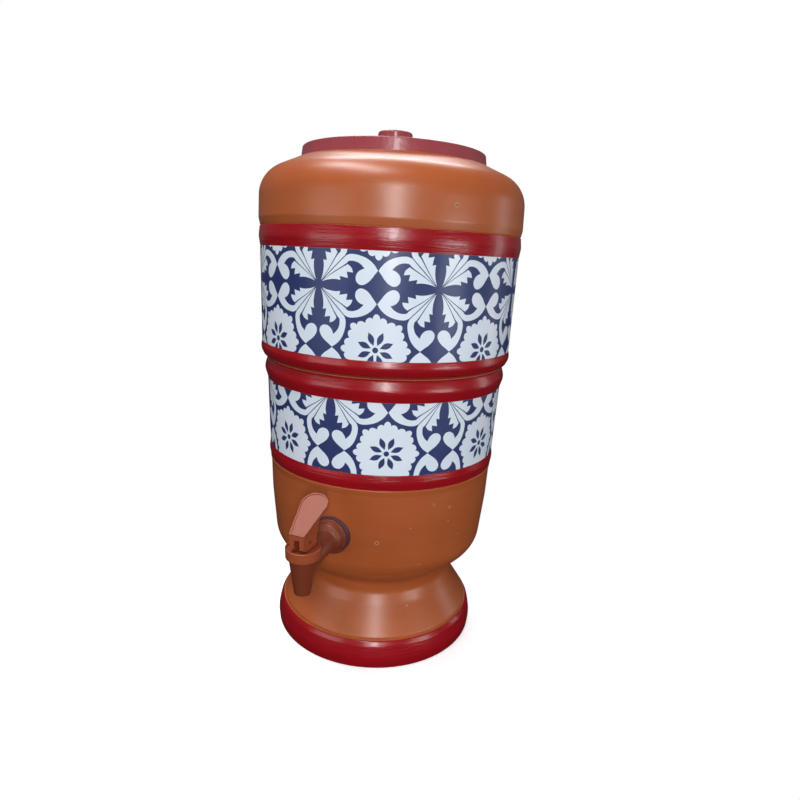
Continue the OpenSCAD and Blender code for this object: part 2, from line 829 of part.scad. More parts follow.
// Side view of the fork: x runs towards the pot, y up, from the pin
fork_side = concat(
    rounded([
        [plate_foot.x + 0.3, plate_foot.y - 0.8, 0],
        [-10.2, 2.9 - pin_h, 1.5],
        [-5.5, -pin_h, 3],
        [cam_lift - 2, -pin_h, 0]
    ]),
    [for (angle = [0 : 5 : lever_travel]) heel(angle)],
    rounded([
        [heel_top.x + 0.3, heel_top.y + 1.2, 0.5],
        [heel_top.x + 0.8, 3, 12],
        [web_end.x, web_end.y, 0],
        [web_end.x - 6, web_end.y - 3, 0]
    ])
);

// Thumb plate seen from above: y runs up the slope
function plate_outline(inset) =
    let (
        foot = plate_w / 2 - inset,
        end = plate_end_w / 2 - inset,
        top = plate_len - inset,
        flare = (plate_end_w - plate_w) / 2 * 0.12
    )
    rounded([
        [-foot, inset, 0.6],
        [foot, inset, 0.6],
        [end + flare, top, end * 0.94],
        [-end - flare, top, end * 0.94]
    ]);

module at_pin() translate([0, valve_y, pin_z]) children();

module at_plate() translate([0, plate_foot.x, plate_foot.y])
    rotate([plate_slope, 0, 0]) translate([0, 0, -plate_t]) children();

module lever() {
    lip_w = 1;
    lip_depth = 0.7;
    color(tap_plastic) at_pin() difference() {
        union() {
            at_plate() linear_extrude(plate_t) polygon(plate_outline(0));
            translate([-fork_w / 2, 0, 0]) rotate([90, 0, 90])
                linear_extrude(fork_w) polygon(fork_side);
        }
        at_plate() translate([0, 0, plate_t - lip_depth])
            linear_extrude(lip_depth + 1) polygon(plate_outline(lip_w));
        translate([-slot_w / 2, slot_front, -2 * pin_h])
            cube([slot_w, slot_back - slot_front, 2 * pin_h + slot_roof]);
        translate([-fork_w / 2 - 1, 0, 0]) rotate([0, 90, 0])
            cylinder(r = pin_r + slip_gap, h = fork_w + 2);
    }
}

module lever_pin() {
    color(steel) at_pin() translate([-fork_w / 2, 0, 0]) rotate([0, 90, 0])
        cylinder(r = pin_r, h = fork_w);
}

// ---- assembly -------------------------------------------------------------

lower_chamber();
lower_band();
upper_chamber();
upper_band();
lid();
candle_shell();
candle_base();
candle_gasket();
stem_washer();
wing_nut();
float_valve();
float();
tap_body();
outer_washer();
inner_washer();
backnut();
bonnet();
bonnet_gasket();
valve_stem();
seat_cup();
valve_spring();
lever();
lever_pin();
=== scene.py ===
# %% [markdown]
# # A clay water pot with a tap
#
# The pot is a household water filter. Two clay chambers stand on each other, a
# ceramic candle between them cleans the water, and a lever tap near the foot lets it
# out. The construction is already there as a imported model, with every piece at its
# real size and place. This lesson dresses it: it turns the smooth outer forms, draws
# the printed tile bands, mixes paints and plastics, and sets up a plain studio.

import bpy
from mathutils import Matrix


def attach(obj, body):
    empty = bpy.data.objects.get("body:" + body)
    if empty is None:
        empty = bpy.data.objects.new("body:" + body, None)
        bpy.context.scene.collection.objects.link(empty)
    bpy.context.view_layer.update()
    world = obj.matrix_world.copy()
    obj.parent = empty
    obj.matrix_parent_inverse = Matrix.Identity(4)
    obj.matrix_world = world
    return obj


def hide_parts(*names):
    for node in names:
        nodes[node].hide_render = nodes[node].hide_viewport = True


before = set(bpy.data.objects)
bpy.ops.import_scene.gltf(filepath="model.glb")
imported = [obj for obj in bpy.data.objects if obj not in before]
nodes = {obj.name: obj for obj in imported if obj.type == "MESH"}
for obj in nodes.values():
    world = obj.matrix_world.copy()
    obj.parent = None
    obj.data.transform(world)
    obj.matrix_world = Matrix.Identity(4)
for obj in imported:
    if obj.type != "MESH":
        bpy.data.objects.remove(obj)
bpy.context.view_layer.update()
print("pieces in the packed model:", len(nodes))

# %% The rest of the toolbox
import math

import bmesh
import bpy
from mathutils import Matrix, Vector

print("Blender", bpy.app.version_string)

# %% [markdown]
# ## Sizes
#
# Blender works in metres and the pot was drawn in millimetres, so outlines stay in
# millimetres here and are scaled once, when their points become a mesh. A height is
# measured from the floor and a radius from the pot's axis. The tap points along -Y.

# %% Sizes of the pot
MM = 0.001
FOOT_R = 101.3
FOOT_RING_H = 26
FOOT_RING_DEPTH = 6.6
WAIST_R = 74.5
WAIST_H = 63
BOWL_R = 107.7
BOWL_H = 146
BOWL_FLOOR_H = 100
HOLLOW_H = 88
RIM_R = 112.7
RIM_H = 276
WALL = 9

LIP_H = 174
LOWER_RING = (180, 193.5)
RIM_RING = (256.8, RIM_H)
LEDGE_RING = (RIM_H, 291)
SHOULDER_RING = (375.6, 392.3)
RING_PROUD = 1.3
JOINT_RING_PROUD = 2.6

UPPER_R = 116.9
SHOULDER_R = 120.42
SHOULDER_FOOT_R = 119
SEAT_H = 451
COLLAR_H = 459.2
COLLAR_R = 79
MOUTH_R = 72


def lower_wall(height):
    """Outer radius of the lower chamber's straight side."""
    return BOWL_R + (RIM_R - BOWL_R) * (height - BOWL_H) / (RIM_H - BOWL_H)


def upper_wall(height):
    """Outer radius of the upper chamber's side."""
    rise = (height - RIM_H) / (SHOULDER_RING[1] - RIM_H)
    return UPPER_R + (SHOULDER_FOOT_R - UPPER_R) * rise


# %% [markdown]
# ## Shaders written as sums
#
# Wrapping each node's output in a small class lets the masks below be written as plain
# arithmetic: every operator adds a Math node. All other nodes come from one method of
# the board they stand on, which takes the kind of node, its settings and the values or
# wires of its sockets. A finish is the board of one material.


# %% A wire, a board and a finish
class Wire:
    """An output socket that can be used in arithmetic."""

    def __init__(self, board, socket):
        self.board = board
        self.socket = socket

    def math(self, operation, *terms, **settings):
        settings["operation"] = operation
        return self.board.node("Math", settings, dict(enumerate(terms)))

    def __add__(self, other):
        return self.math("ADD", self, other)

    def __mul__(self, other):
        return self.math("MULTIPLY", self, other)

    def __sub__(self, other):
        return self.math("SUBTRACT", self, other)

    def __rsub__(self, other):
        return self.math("SUBTRACT", other, self)

    __radd__ = __add__
    __rmul__ = __mul__

    def clamped(self):
        return self.math("ADD", self, 0, use_clamp=True)


class Board:
    """A node tree, on which nodes are placed and wired."""

    def __init__(self, owner):
        owner.use_nodes = True
        self.tree = owner.node_tree

    def feed(self, node, sockets):
        for key, value in sockets.items():
            if isinstance(value, Wire):
                self.tree.links.new(value.socket, node.inputs[key])
            else:
                node.inputs[key].default_value = value

    def node(self, kind, settings=None, sockets=None, out=0):
        made = self.tree.nodes.new("ShaderNode" + kind)
        for key, value in (settings or {}).items():
            setattr(made, key, value)
        self.feed(made, sockets or {})
        return Wire(self, made.outputs[out])


class Finish(Board):
    """One material: a Principled shader and the nodes that feed it."""

    def __init__(self, name, **plain):
        self.material = bpy.data.materials.new(name)
        super().__init__(self.material)
        self.shader = self.tree.nodes["Principled BSDF"]
        self.show(**plain)
        self.place = self.node("TexCoord", out="Object")

    def show(self, **sockets):
        self.feed(self.shader, {key.replace("_", " "): value for key, value in sockets.items()})

    def noise(self, size, detail=2, roughness=0.5, stretch=(1, 1, 1)):
        """Soft spots about size metres across, from 0 to 1."""
        stretched = self.node("Mapping", sockets={"Vector": self.place, "Scale": stretch})
        sockets = {"Vector": stretched, "Scale": 1 / size}
        sockets.update({"Detail": detail, "Roughness": roughness})
        return self.node("TexNoise", sockets=sockets)

    def ramp(self, value, start, stop):
        """0 below start, 1 above stop and smooth between them."""
        settings = {"interpolation_type": "SMOOTHSTEP", "clamp": True}
        sockets = {"Value": value, "From Min": start, "From Max": stop}
        return self.node("MapRange", settings, sockets)

    def mix(self, factor, first, second):
        """A colour between two colours."""
        settings = {"data_type": "RGBA", "clamp_factor": True}
        return self.node("Mix", settings, {0: factor, 6: first, 7: second}, out=2)

    def bump(self, height, depth):
        """A normal for a surface whose height varies by depth metres."""
        return self.node("Bump", sockets={"Height": height, "Distance": depth, "Strength": 1.0})

    def point_distance(self, point):
        """How far each point of the piece is from one point, in metres."""
        settings = {"operation": "DISTANCE"}
        return self.node("VectorMath", settings, {0: self.place, 1: point}, out="Value")


def tint(code):
    """Linear colour of a six-digit screen colour."""
    screen = [int(code[i : i + 2], 16) / 255 for i in (0, 2, 4)]
    linear = [c / 12.92 if c <= 0.04045 else ((c + 0.055) / 1.055) ** 2.4 for c in screen]
    return (*linear, 1)


print("mid grey in linear light:", round(tint("808080")[0], 3))

# %% [markdown]
# ## The painted clay
#
# The outside of the pot is coated with a satin terracotta paint. Up close it is
# slightly cloudy, with a few pale specks and pits where dust or an air bubble sat
# under the paint. Cloudiness is soft noise between two near colours, the fine grain
# is bump, and specks are the cores of a Voronoi pattern, of which only a few cells
# are let through. Each pit is sunk by bump and ringed paler, and its middle is
# darkened as painted shade.


# %% Where a point of the wall is
def on_wall(azimuth, height, radius):
    """A point on a round wall: azimuth in degrees from the tap's side towards +X."""
    turn = math.radians(azimuth)
    return Vector((radius * math.sin(turn), -radius * math.cos(turn), height)) * MM


# Blemishes that a buyer could see: azimuth, height, radius of the wall, size
PITS = [
    (21.5, 130.0, 106.6, 1.9),
    (37.0, 144.0, 107.8, 0.8),
    (43.5, 106.0, 103.2, 0.9),
    (48.0, 164.0, 108.5, 1.2),
    (57.0, 158.5, 108.3, 1.3),
    (57.0, 145.0, 107.8, 0.9),
    (65.5, 127.5, 106.3, 1.1),
    (29.0, 421.5, 119.8, 0.9),
    (45.5, 411.5, 120.2, 1.7),
    (70.0, 413.5, 120.2, 1.3),
]
print("first blemish at", on_wall(*PITS[0][:3]))


# %% Painted clay
def coated_clay():
    paint = Finish("coated_clay", Coat_Weight=0.3, Coat_Roughness=0.3)
    cloud = paint.noise(0.055, detail=4, roughness=0.55)
    fine = paint.noise(0.0016, detail=3, roughness=0.6)
    wipe = paint.noise(0.05, detail=3, stretch=(1, 1, 9))
    colour = paint.mix(cloud * 0.7 + wipe * 0.3, tint("a55023"), tint("bf6537"))
    cells = {"Vector": paint.place, "Scale": 70, "Randomness": 1.0}
    core = paint.node("TexVoronoi", sockets=cells)
    cell_colour = paint.node("TexVoronoi", sockets=cells, out="Color")
    lot = paint.node("SeparateColor", sockets={0: cell_colour})
    few = paint.ramp(lot, 0.93, 0.95)
    speck = (1 - paint.ramp(core, 0.03, 0.07)) * few
    rim = 0
    hole = 0
    for azimuth, height, radius, size in PITS:
        away = paint.point_distance(on_wall(azimuth, height, radius))
        inner = 1 - paint.ramp(away, 0.25 * size * MM, 0.6 * size * MM)
        outer = 1 - paint.ramp(away, 0.9 * size * MM, 1.35 * size * MM)
        hole = hole + inner
        rim = rim + (outer - inner)
    pale = (speck * 0.8 + rim * 0.35).clamped()
    colour = paint.mix(pale, colour, tint("e0b090"))
    # Painted shade: the middle of each pit is darkened towards a dark brown.
    colour = paint.mix(hole.clamped() * 0.6, colour, tint("5a2d18"))
    relief = cloud * 0.5 + fine * 0.06 + wipe * 0.2 + speck * 0.2 + rim * 0.35 - hole * 0.5
    paint.show(
        Base_Color=colour,
        Roughness=0.28 + cloud * 0.12 + fine * 0.06,
        Normal=paint.bump(relief, 0.0006),
    )
    return paint.material


COATED_CLAY = coated_clay()
print("pits on the painted clay:", len(PITS))

# %% [markdown]
# ## The red enamel and the bare clay
#
# The raised rings are painted by hand with gloss enamel while the pot turns, so the
# brush leaves faint strokes that run round it. The noise is squeezed along Z to make
# them. Inside, and under the foot, the clay is bare: it is paler, matt and grainy,
# with the rings that the potter's rib left.


# %% Red enamel
def red_enamel():
    paint = Finish("red_enamel", Coat_Roughness=0.08)
    stroke = paint.noise(0.03, detail=4, roughness=0.6, stretch=(1, 1, 14))
    cloud = paint.noise(0.04, detail=2)
    dust = paint.noise(0.0012, detail=2)
    colour = paint.mix(cloud * 0.6 + stroke * 0.4, tint("8c0a16"), tint("ad1220"))
    paint.show(
        Base_Color=colour,
        Roughness=0.18 + stroke * 0.12,
        Coat_Weight=0.1 + cloud * 0.1,
        Normal=paint.bump(stroke * 0.5 + cloud * 0.6 + dust * 0.05, 0.0007),
    )
    return paint.material


RED_ENAMEL = red_enamel()


# %% Bare clay
def bare_clay():
    clay = Finish("bare_clay")
    grain = clay.noise(0.0009, detail=4, roughness=0.7)
    rings = clay.noise(0.02, detail=2, stretch=(0.3, 0.3, 6))
    damp = clay.noise(0.07, detail=3)
    colour = clay.mix(grain * 0.5 + damp * 0.5, tint("a9653f"), tint("c88a60"))
    clay.show(
        Base_Color=colour,
        Roughness=0.82 + grain * 0.12,
        Normal=clay.bump(grain * 0.2 + rings * 0.8, 0.0008),
    )
    return clay.material


BARE_CLAY = bare_clay()
print("clay finishes:", COATED_CLAY.name, RED_ENAMEL.name, BARE_CLAY.name)

# %% [markdown]
# ## Turning a round piece
#
# Most of the pot is round, and a lathe is the natural tool: draw half of the section
# once and spin it about the axis. An outline here is a short list of corners, each
# with its own rounding. The function below replaces every rounded corner by an arc,
# and bmesh's spin operator sweeps the outline through a full turn. A full spin with
# use_merge welds the last step to the first. Points on the axis become a pole, which
# is welded afterwards.

# %% Rounding an outline
ARC_STEP = math.radians(4)
LONGEST_REACH = 0.48


def rounded(corners):
    """Points of an outline whose corners (radius, height, rounding) become arcs."""
    points = []
    for i, (x, y, rounding) in enumerate(corners):
        corner = Vector((x, y))
        back = Vector(corners[i - 1][:2]) - corner
        ahead = Vector(corners[(i + 1) % len(corners)][:2]) - corner
        if rounding <= 0:
            points.append(corner)
            continue
        half = back.angle(ahead) / 2
        room = LONGEST_REACH * min(back.length, ahead.length)
        reach = min(rounding / math.tan(half), room)
        radius = reach * math.tan(half)
        middle = (back.normalized() + ahead.normalized()).normalized()
        centre = corner + middle * radius / math.sin(half)
        start = corner + back.normalized() * reach - centre
        turn = math.copysign(math.pi - 2 * half, -back.angle_signed(ahead))
        steps = max(1, math.ceil(abs(turn) / ARC_STEP))
        for step in range(steps + 1):
            points.append(centre + Matrix.Rotation(-turn * step / steps, 2) @ start)
    return points


square = rounded([(1, 0, 0.2), (2, 0, 0.2), (2, 1, 0.2), (1, 1, 0.2)])
print("a rounded square has", len(square), "points, lowest", round(min(p.y for p in square), 3))


# %% A piece from a mesh
SHARP_ANGLE = 32


def finished(name, bm, materials, sharp=SHARP_ANGLE):
    """An object whose place is in its mesh, shaded smooth except at sharp edges."""
    mesh = bpy.data.meshes.new(name)
    bm.to_mesh(mesh)
    bm.free()
    mesh.shade_smooth()
    mesh.set_sharp_from_angle(angle=math.radians(sharp))
    for material in materials:
        mesh.materials.append(material)
    piece = bpy.data.objects.new(name, mesh)
    bpy.context.scene.collection.objects.link(piece)
    print(name, "has", len(mesh.polygons), "faces")
    return piece


# %% Two helpers for modifiers and operators
def baked(piece):
    """The piece's mesh with its modifiers applied."""
    bpy.context.view_layer.update()
    ready = piece.evaluated_get(bpy.context.evaluated_depsgraph_get())
    return bpy.data.meshes.new_from_object(ready)


def whole(bm):
    """All vertices, edges and faces, which is what most operators ask for."""
    return bm.verts[:] + bm.edges[:] + bm.faces[:]


# %% The lathe
LONGEST_EDGE = 8 * MM
TURN_STEPS = 144
POLE_WELD = 1e-7


def turned(name, corners, materials, finish_of):
    """Spins an outline. finish_of(radius, height) gives a face's material number."""
    bm = bmesh.new()
    ring = [bm.verts.new((p.x * MM, 0, p.y * MM)) for p in rounded(corners)]
    for start, end in zip(ring, ring[1:] + ring[:1]):
        if start.co.x + end.co.x > 0:
            bm.edges.new((start, end))
    for edge in bm.edges[:]:
        cuts = int(edge.calc_length() / LONGEST_EDGE)
        if cuts:
            bmesh.ops.subdivide_edges(bm, edges=[edge], cuts=cuts)
    bmesh.ops.spin(
        bm, geom=bm.verts[:] + bm.edges[:], cent=(0, 0, 0), axis=(0, 0, 1),
        angle=2 * math.pi, steps=TURN_STEPS, use_merge=True,
    )
    bmesh.ops.remove_doubles(bm, verts=bm.verts, dist=POLE_WELD)
    bmesh.ops.recalc_face_normals(bm, faces=bm.faces)
    for face in bm.faces:
        middle = face.calc_center_median() / MM
        face.material_index = finish_of(middle.xy.length, middle.z)
    return finished(name, bm, materials)


# %% [markdown]
# ## The lower chamber
#
# The foot, the bowl and the straight side are one piece of clay. Its raised rings are
# part of the same clay and only differ in paint, so one outline carries them all and
# each face gets its finish from its place. A fine groove lies where the enamel meets
# the clay: the painter's line, which catches shadow. Below the first ring the clay
# swells into a low lip.

# %% Outline of a raised ring
def ring_corners(span, wall, proud):
    """A bulging ring between two heights on a wall."""
    low, high = span
    middle = (low + high) / 2
    return [
        (wall(low) + 0.35 * proud, low, 0.3),
        (wall(middle) + 1.2 * proud, middle, high - low),
        (wall(high) + 0.35 * proud, high, 0.3),
    ]


print("first ring:", ring_corners(LOWER_RING, lower_wall, RING_PROUD))

# %% The lower chamber's outline
lower_outline = [
    (FOOT_R - 12, 0, 1.5),
    (FOOT_R - 1, 0, 2),
    (FOOT_R + 0.2, 9.9, 26),
    (FOOT_R - 2.4, 22.1, 8),
    (FOOT_R - 4.6, FOOT_RING_H, 1.4),
    (FOOT_R - 6.7, FOOT_RING_H + 0.1, 0.3),
    (FOOT_R - 6.3, 28.5, 3),
    (88, 39, 8),
    (78.9, 53, 22),
    (WAIST_R, WAIST_H, 10),
    (WAIST_R + 1.5, 74, 12),
    (103, 97, 26),
    (BOWL_R, BOWL_H, 90),
    (lower_wall(LIP_H), LIP_H, 2),
    (lower_wall(LOWER_RING[0]) + 0.7, LOWER_RING[0] - 0.9, 0.5),
    (lower_wall(LOWER_RING[0]) - 0.2, LOWER_RING[0] - 0.3, 0.2),
    *ring_corners(LOWER_RING, lower_wall, RING_PROUD),
    (lower_wall(LOWER_RING[1]), LOWER_RING[1], 0),
    (lower_wall(RIM_RING[0]), RIM_RING[0], 0),
    (lower_wall(RIM_RING[0]) + 0.4, RIM_RING[0], 0.3),
    (RIM_R + JOINT_RING_PROUD, 266, 10),
    (RIM_R, RIM_H - 1, 3),
    (RIM_R - 2.4, RIM_H, 1),
    (RIM_R - WALL, RIM_H, 1),
    (BOWL_R - WALL, BOWL_H, 90),
    (95.5, 111, 40),
    (84.6, BOWL_FLOOR_H, 12),
    (0, BOWL_FLOOR_H, 0),
]
foot_hollow = [
    (0, HOLLOW_H, 0),
    (64.5, HOLLOW_H, 9),
    (64.5, WAIST_H, 18),
    (68.9, 47, 20),
    (87.3, 22, 12),
]
print("corners of the lower chamber's outline:", len(lower_outline) + len(foot_hollow))

# %% Which finish a face of the lower chamber has
CLAY_FINISHES = [COATED_CLAY, RED_ENAMEL, BARE_CLAY]
COATED, ENAMEL, BARE = range(3)

# Faces deeper in the wall than SKIN are inside. The foot's hollow has the radius
# HOLLOW_R and widens below HOLLOW_FLARE_H.
SKIN = 4
HOLLOW_R = WAIST_R - 6
HOLLOW_FLARE_H = 47
HOLLOW_FLARE = 0.5


def lower_finish(radius, height):
    """Bare where the clay is hidden or stood on, then enamel on the rings."""
    foot_hollow_r = HOLLOW_R + max(0, HOLLOW_FLARE_H - height) * HOLLOW_FLARE
    if height < 0.3 or height > RIM_H - 0.5:
        return BARE
    if height < BOWL_H and radius < foot_hollow_r:
        return BARE
    if height > BOWL_FLOOR_H - 1 and radius < lower_wall(height) - SKIN:
        return BARE
    if height < FOOT_RING_H and radius > FOOT_R - FOOT_RING_DEPTH:
        return ENAMEL
    if LOWER_RING[0] <= height <= LOWER_RING[1] or height > RIM_RING[0]:
        return ENAMEL
    return COATED


print("finish of the waist:", CLAY_FINISHES[lower_finish(WAIST_R, WAIST_H)].name)

# %% Turn the lower chamber
clay_bowl = turned("clay_bowl", lower_outline + foot_hollow, CLAY_FINISHES, lower_finish)

# %% [markdown]
# The tap's shank goes through the bowl, so the bowl needs a round hole in its front.
# A Boolean modifier cuts it with a cylinder, and the result is kept as the bowl's own
# mesh, so that nothing depends on the cutter any longer. The cutter's faces carry the
# number of the bare clay, which the cut inherits.


# %% Drill a round hole
def drilled(piece, centre, diameter, length):
    """Cuts a round hole that runs along Y."""
    bm = bmesh.new()
    place = Matrix.Translation(centre) @ Matrix.Rotation(math.pi / 2, 4, "X")
    bmesh.ops.create_cone(
        bm, cap_ends=True, segments=64, radius1=diameter / 2, radius2=diameter / 2,
        depth=length, matrix=place,
    )
    for face in bm.faces:
        face.material_index = BARE
    cutter = finished("cutter", bm, [])
    cut = piece.modifiers.new("hole", "BOOLEAN")
    cut.object = cutter
    cut.operation = "DIFFERENCE"
    cut.solver = "EXACT"
    mesh = baked(piece)
    piece.modifiers.clear()
    piece.data = mesh
    bpy.data.objects.remove(cutter)
    mesh.shade_smooth()
    mesh.set_sharp_from_angle(angle=math.radians(SHARP_ANGLE))
    print(piece.name, "drilled, now", len(mesh.polygons), "faces")


TAP_CENTRE = Vector((0, -105, 134)) * MM
TAP_HOLE_D = 20 * MM
TAP_HOLE_LENGTH = 40 * MM

drilled(clay_bowl, TAP_CENTRE, TAP_HOLE_D, TAP_HOLE_LENGTH)

# %% [markdown]
# ## The upper chamber
#
# The upper chamber sits in the lower one with a spigot and ends in a wide shoulder and
# a collar for the lid. Its ledge is painted as one with the lower rim below it, and a
# second ring marks where the shoulder starts.

# %% The upper chamber's outline
SPIGOT_R = RIM_R - WALL - 2.2
SPIGOT_H = 262
FLOOR_HOLE_R = 6.5

top_outline = [
    (FLOOR_HOLE_R, SPIGOT_H, 0),
    (SPIGOT_R, SPIGOT_H, 2),
    (SPIGOT_R, RIM_H, 0),
    (RIM_R - 2, RIM_H, 1),
    (RIM_R - 0.6, RIM_H + 1, 1),
    (UPPER_R - 1, RIM_H + 2.8, 3.5),
    (UPPER_R + 0.75 * JOINT_RING_PROUD, 284.7, 9),
    (upper_wall(LEDGE_RING[1]) + 0.4, LEDGE_RING[1], 0.3),
    (upper_wall(LEDGE_RING[1]), LEDGE_RING[1], 0),
    (upper_wall(SHOULDER_RING[0]), SHOULDER_RING[0], 0),
    *ring_corners(SHOULDER_RING, upper_wall, RING_PROUD),
    (upper_wall(SHOULDER_RING[1]) - 0.4, SHOULDER_RING[1] + 0.4, 0.2),
    (SHOULDER_FOOT_R + 0.2, SHOULDER_RING[1] + 1.3, 0.4),
    (SHOULDER_R, 399.3, 8),
    (SHOULDER_R - 0.7, 436, 30),
    (85.2, 451.4, 0.8),
    (85, SEAT_H, 0),
    (COLLAR_R, SEAT_H, 0),
    (COLLAR_R, COLLAR_H, 1.5),
    (MOUTH_R, COLLAR_H, 2),
    (MOUTH_R, 446.9, 3),
    (110.8, 430.1, 21),
    (108.3, 302, 30),
    (93.5, 274, 12),
    (FLOOR_HOLE_R, 274, 0.8),
]
print("corners of the upper chamber's outline:", len(top_outline))

# %% Which finish a face of the upper chamber has
# Below INSIDE_H and inside INSIDE_R is the hollow, and below DOME_H and inside DOME_R
# the underside of the dome.
INSIDE_R = 111
INSIDE_H = 432
DOME_R = 100
DOME_H = 446


def top_finish(radius, height):
    """Bare inside, under the lid and in the joint, then enamel on the rings."""
    if height < RIM_H + 0.3 or radius < MOUTH_R + 0.2:
        return BARE
    if height < COLLAR_H - 1 and radius < COLLAR_R - 1:
        return BARE
    if height < INSIDE_H and radius < min(INSIDE_R, upper_wall(height) - SKIN):
        return BARE
    if height < DOME_H and radius < DOME_R:
        return BARE
    if height < LEDGE_RING[1] or SHOULDER_RING[0] < height < SHOULDER_RING[1] + 0.2:
        return ENAMEL
    return COATED


clay_top = turned("clay_top", top_outline, CLAY_FINISHES, top_finish)

# %% [markdown]
# ## The printed bands
#
# Both bands carry the same traditional tile pattern, blue on white. A whole tile is
# made of eight equal parts: mirrored across its diagonals and its middle lines, one
# eighth becomes the tile. So only one eighth is drawn, in millimetres from the centre
# of the cross, as closed Bezier outlines. "VECTOR" handles give a corner and "AUTO"
# handles a smooth point.

# %% One eighth of the tile
TILE = 96.2
HALF_TILE = TILE / 2
CORNER, SMOOTH = "VECTOR", "AUTO"

toothed_leaf = [
    (3.0, 2.2, CORNER), (6.1, 3.3, SMOOTH), (10.1, 4.2, SMOOTH), (14.5, 4.6, SMOOTH),
    (18.9, 4.2, CORNER), (18.2, 7.2, CORNER), (24.8, 5.9, CORNER), (23.9, 10.7, CORNER),
    (28.9, 10.2, CORNER), (27.6, 13.7, SMOOTH), (24.6, 16.2, CORNER), (12.0, 8.6, SMOOTH),
]
scroll = [
    (3.4, 2.9, CORNER), (11.7, 9.1, SMOOTH), (23.6, 17.0, SMOOTH), (24.9, 18.4, SMOOTH),
    (27.4, 18.9, SMOOTH), (30.6, 18.6, SMOOTH), (34.2, 17.0, SMOOTH), (37.8, 13.6, CORNER),
    (34.6, 12.3, SMOOTH), (31.9, 9.6, SMOOTH), (31.0, 6.0, SMOOTH), (32.2, 2.9, SMOOTH),
    (35.2, 1.3, SMOOTH), (38.8, 2.2, SMOOTH), (42.6, 5.4, SMOOTH), (45.4, 9.2, SMOOTH),
    (47.9, 12.5, CORNER), (45.8, 15.6, SMOOTH), (43.2, 18.4, SMOOTH), (39.6, 20.9, SMOOTH),
    (34.8, 22.8, SMOOTH), (29.5, 23.8, SMOOTH), (25.6, 23.6, SMOOTH), (22.8, 22.3, CORNER),
    (13.0, 12.5, SMOOTH),
]
print("points of the leaf and of the scroll:", len(toothed_leaf), len(scroll))


# %% The medallion at the tile's corner
def round_the_corner(points):
    """Points given as (angle, radius, handle) about the tile's corner."""
    placed = []
    for angle, radius, handle in points:
        turn = math.radians(angle)
        x = HALF_TILE + radius * math.cos(turn)
        placed.append((x, HALF_TILE + radius * math.sin(turn), handle))
    return placed


LOBES = 8
HALF_LOBE = 180 / LOBES
medallion_edge = []
medallion_petals = []
for lobe in range(LOBES):
    start = lobe * 360 / LOBES
    medallion_edge += [
        (start - 6.8, 24.3, CORNER), (start - 5.6, 26.1, SMOOTH), (start, 28.0, SMOOTH),
        (start + 5.6, 26.1, SMOOTH), (start + 6.8, 24.3, CORNER),
        (start + 10.3, 25.5, SMOOTH), (start + 17.4, 25.0, SMOOTH),
        (start + HALF_LOBE, 22.6, CORNER), (start + 27.6, 25.0, SMOOTH),
        (start + 34.7, 25.5, SMOOTH),
    ]
    side = start + HALF_LOBE
    medallion_petals.append([
        (side, 3.7, CORNER), (side + 14, 9.9, SMOOTH),
        (side, 15.1, CORNER), (side - 14, 9.9, SMOOTH),
    ])
medallion_dot = [(angle, 2.3, SMOOTH) for angle in range(0, 360, 45)]

white_outlines = [toothed_leaf, scroll, round_the_corner(medallion_edge)]
blue_spots = [round_the_corner(petal) for petal in [*medallion_petals, medallion_dot]]
print("outlines in an eighth:", len(white_outlines) + len(blue_spots))

# %% [markdown]
# A filled two-dimensional curve obeys the even-odd rule: an outline inside another is
# a hole, and one inside that is an island again. Filling the outlines gives the white
# of the print. Filling them again with a large rectangle round them gives the blue.

# %% Fill the outlines
WHITE, BLUE = range(2)
SHEET = [(-20, -20, CORNER), (120, -20, CORNER), (120, 120, CORNER), (-20, 120, CORNER)]


def filled(outlines):
    """A flat mesh of closed Bezier outlines, filled by the even-odd rule."""
    curve = bpy.data.curves.new("drawing", "CURVE")
    curve.dimensions = "2D"
    curve.fill_mode = "BOTH"
    curve.resolution_u = 4
    for outline in outlines:
        spline = curve.splines.new("BEZIER")
        spline.bezier_points.add(len(outline) - 1)
        spline.use_cyclic_u = True
        for point, (x, y, handle) in zip(spline.bezier_points, outline):
            point.co = (x, y, 0)
            point.handle_left_type = point.handle_right_type = handle
    drawing = bpy.data.objects.new("drawing", curve)
    bpy.context.scene.collection.objects.link(drawing)
    mesh = baked(drawing)
    bpy.data.objects.remove(drawing)
    return mesh


# %% Cut and mirror a flat drawing
CUT_TOLERANCE = 1e-6
INK_WELD = 1e-4
COPY_WELD = 1e-3


def trimmed(bm, point, outward):
    """Cuts off what lies beyond a plane."""
    bmesh.ops.bisect_plane(
        bm, geom=whole(bm), dist=CUT_TOLERANCE, plane_co=point, plane_no=outward,
        clear_outer=True,
    )


def mirrored(bm, axis_angle):
    """Adds the mirror image across the line whose normal has that angle."""
    across = Matrix.Rotation(math.radians(axis_angle), 4, "Z")
    bmesh.ops.mirror(bm, geom=whole(bm), matrix=across, merge_dist=0, axis="X")
    bmesh.ops.remove_doubles(bm, verts=bm.verts, dist=COPY_WELD)


# %% Build the tile
tile = bmesh.new()
for colour, outlines in ((WHITE, white_outlines), (BLUE, [SHEET, *white_outlines])):
    mesh = filled([*outlines, *blue_spots])
    print("filled drawing", colour, "has", len(mesh.polygons), "faces")
    before = set(tile.faces)
    tile.from_mesh(mesh)
    for face in set(tile.faces) - before:
        face.material_index = colour
bmesh.ops.remove_doubles(tile, verts=tile.verts, dist=INK_WELD)
trimmed(tile, (0, 0, 0), (0, -1, 0))
trimmed(tile, (HALF_TILE, 0, 0), (1, 0, 0))
trimmed(tile, (0, 0, 0), (-1, 1, 0))
for normal_angle in (-45, 90, 0):
    mirrored(tile, normal_angle)
tile_area = sum(face.calc_area() for face in tile.faces)
print("the tile has", len(tile.faces), "faces and is", round(tile_area, 1), "mm2")

